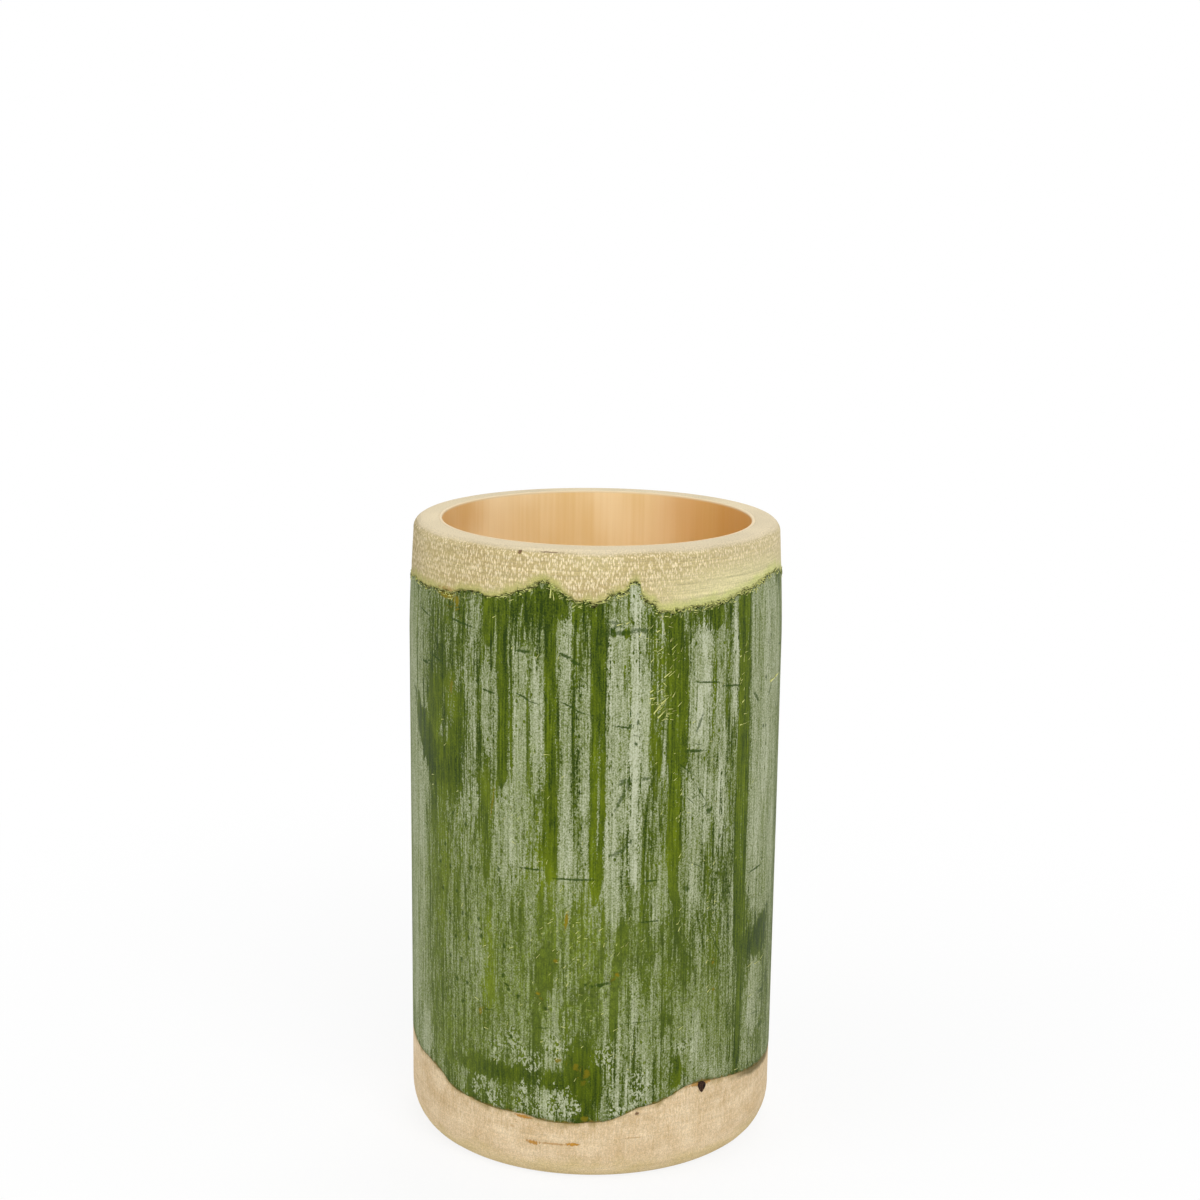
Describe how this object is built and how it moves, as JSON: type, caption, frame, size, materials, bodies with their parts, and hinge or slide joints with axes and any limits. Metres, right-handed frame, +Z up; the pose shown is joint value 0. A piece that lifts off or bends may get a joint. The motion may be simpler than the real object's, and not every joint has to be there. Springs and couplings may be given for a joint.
{
  "type": "bamboo cup",
  "caption": "Straight-sided drinking cup cut from one green bamboo internode, with a ground pale rim and foot and a natural node diaphragm as its floor.",
  "frame": {"origin": "centre of the ring that the cup stands on, on the table's surface", "axes": "+Z up along the culm's axis towards the lip; -Y is the side that faces the camera in the picture, +X its right"},
  "size_m": [0.075, 0.075, 0.126],
  "materials": {
    "culm_timber": "ground bare bamboo, matt",
    "green_rind": "raw green rind under a rubbed pale wax bloom",
    "pith_lining": "smooth warm inner wall",
    "node_diaphragm": "dry pithy bamboo",
    "bud_knot": "dead dark knot"
  },
  "bodies": {
    "root": {"culm_wall": "culm_timber", "green_rind": "green_rind", "pith_lining": "pith_lining", "node_diaphragm": "node_diaphragm", "bud_knot": "bud_knot"}
  },
  "joints": []
}
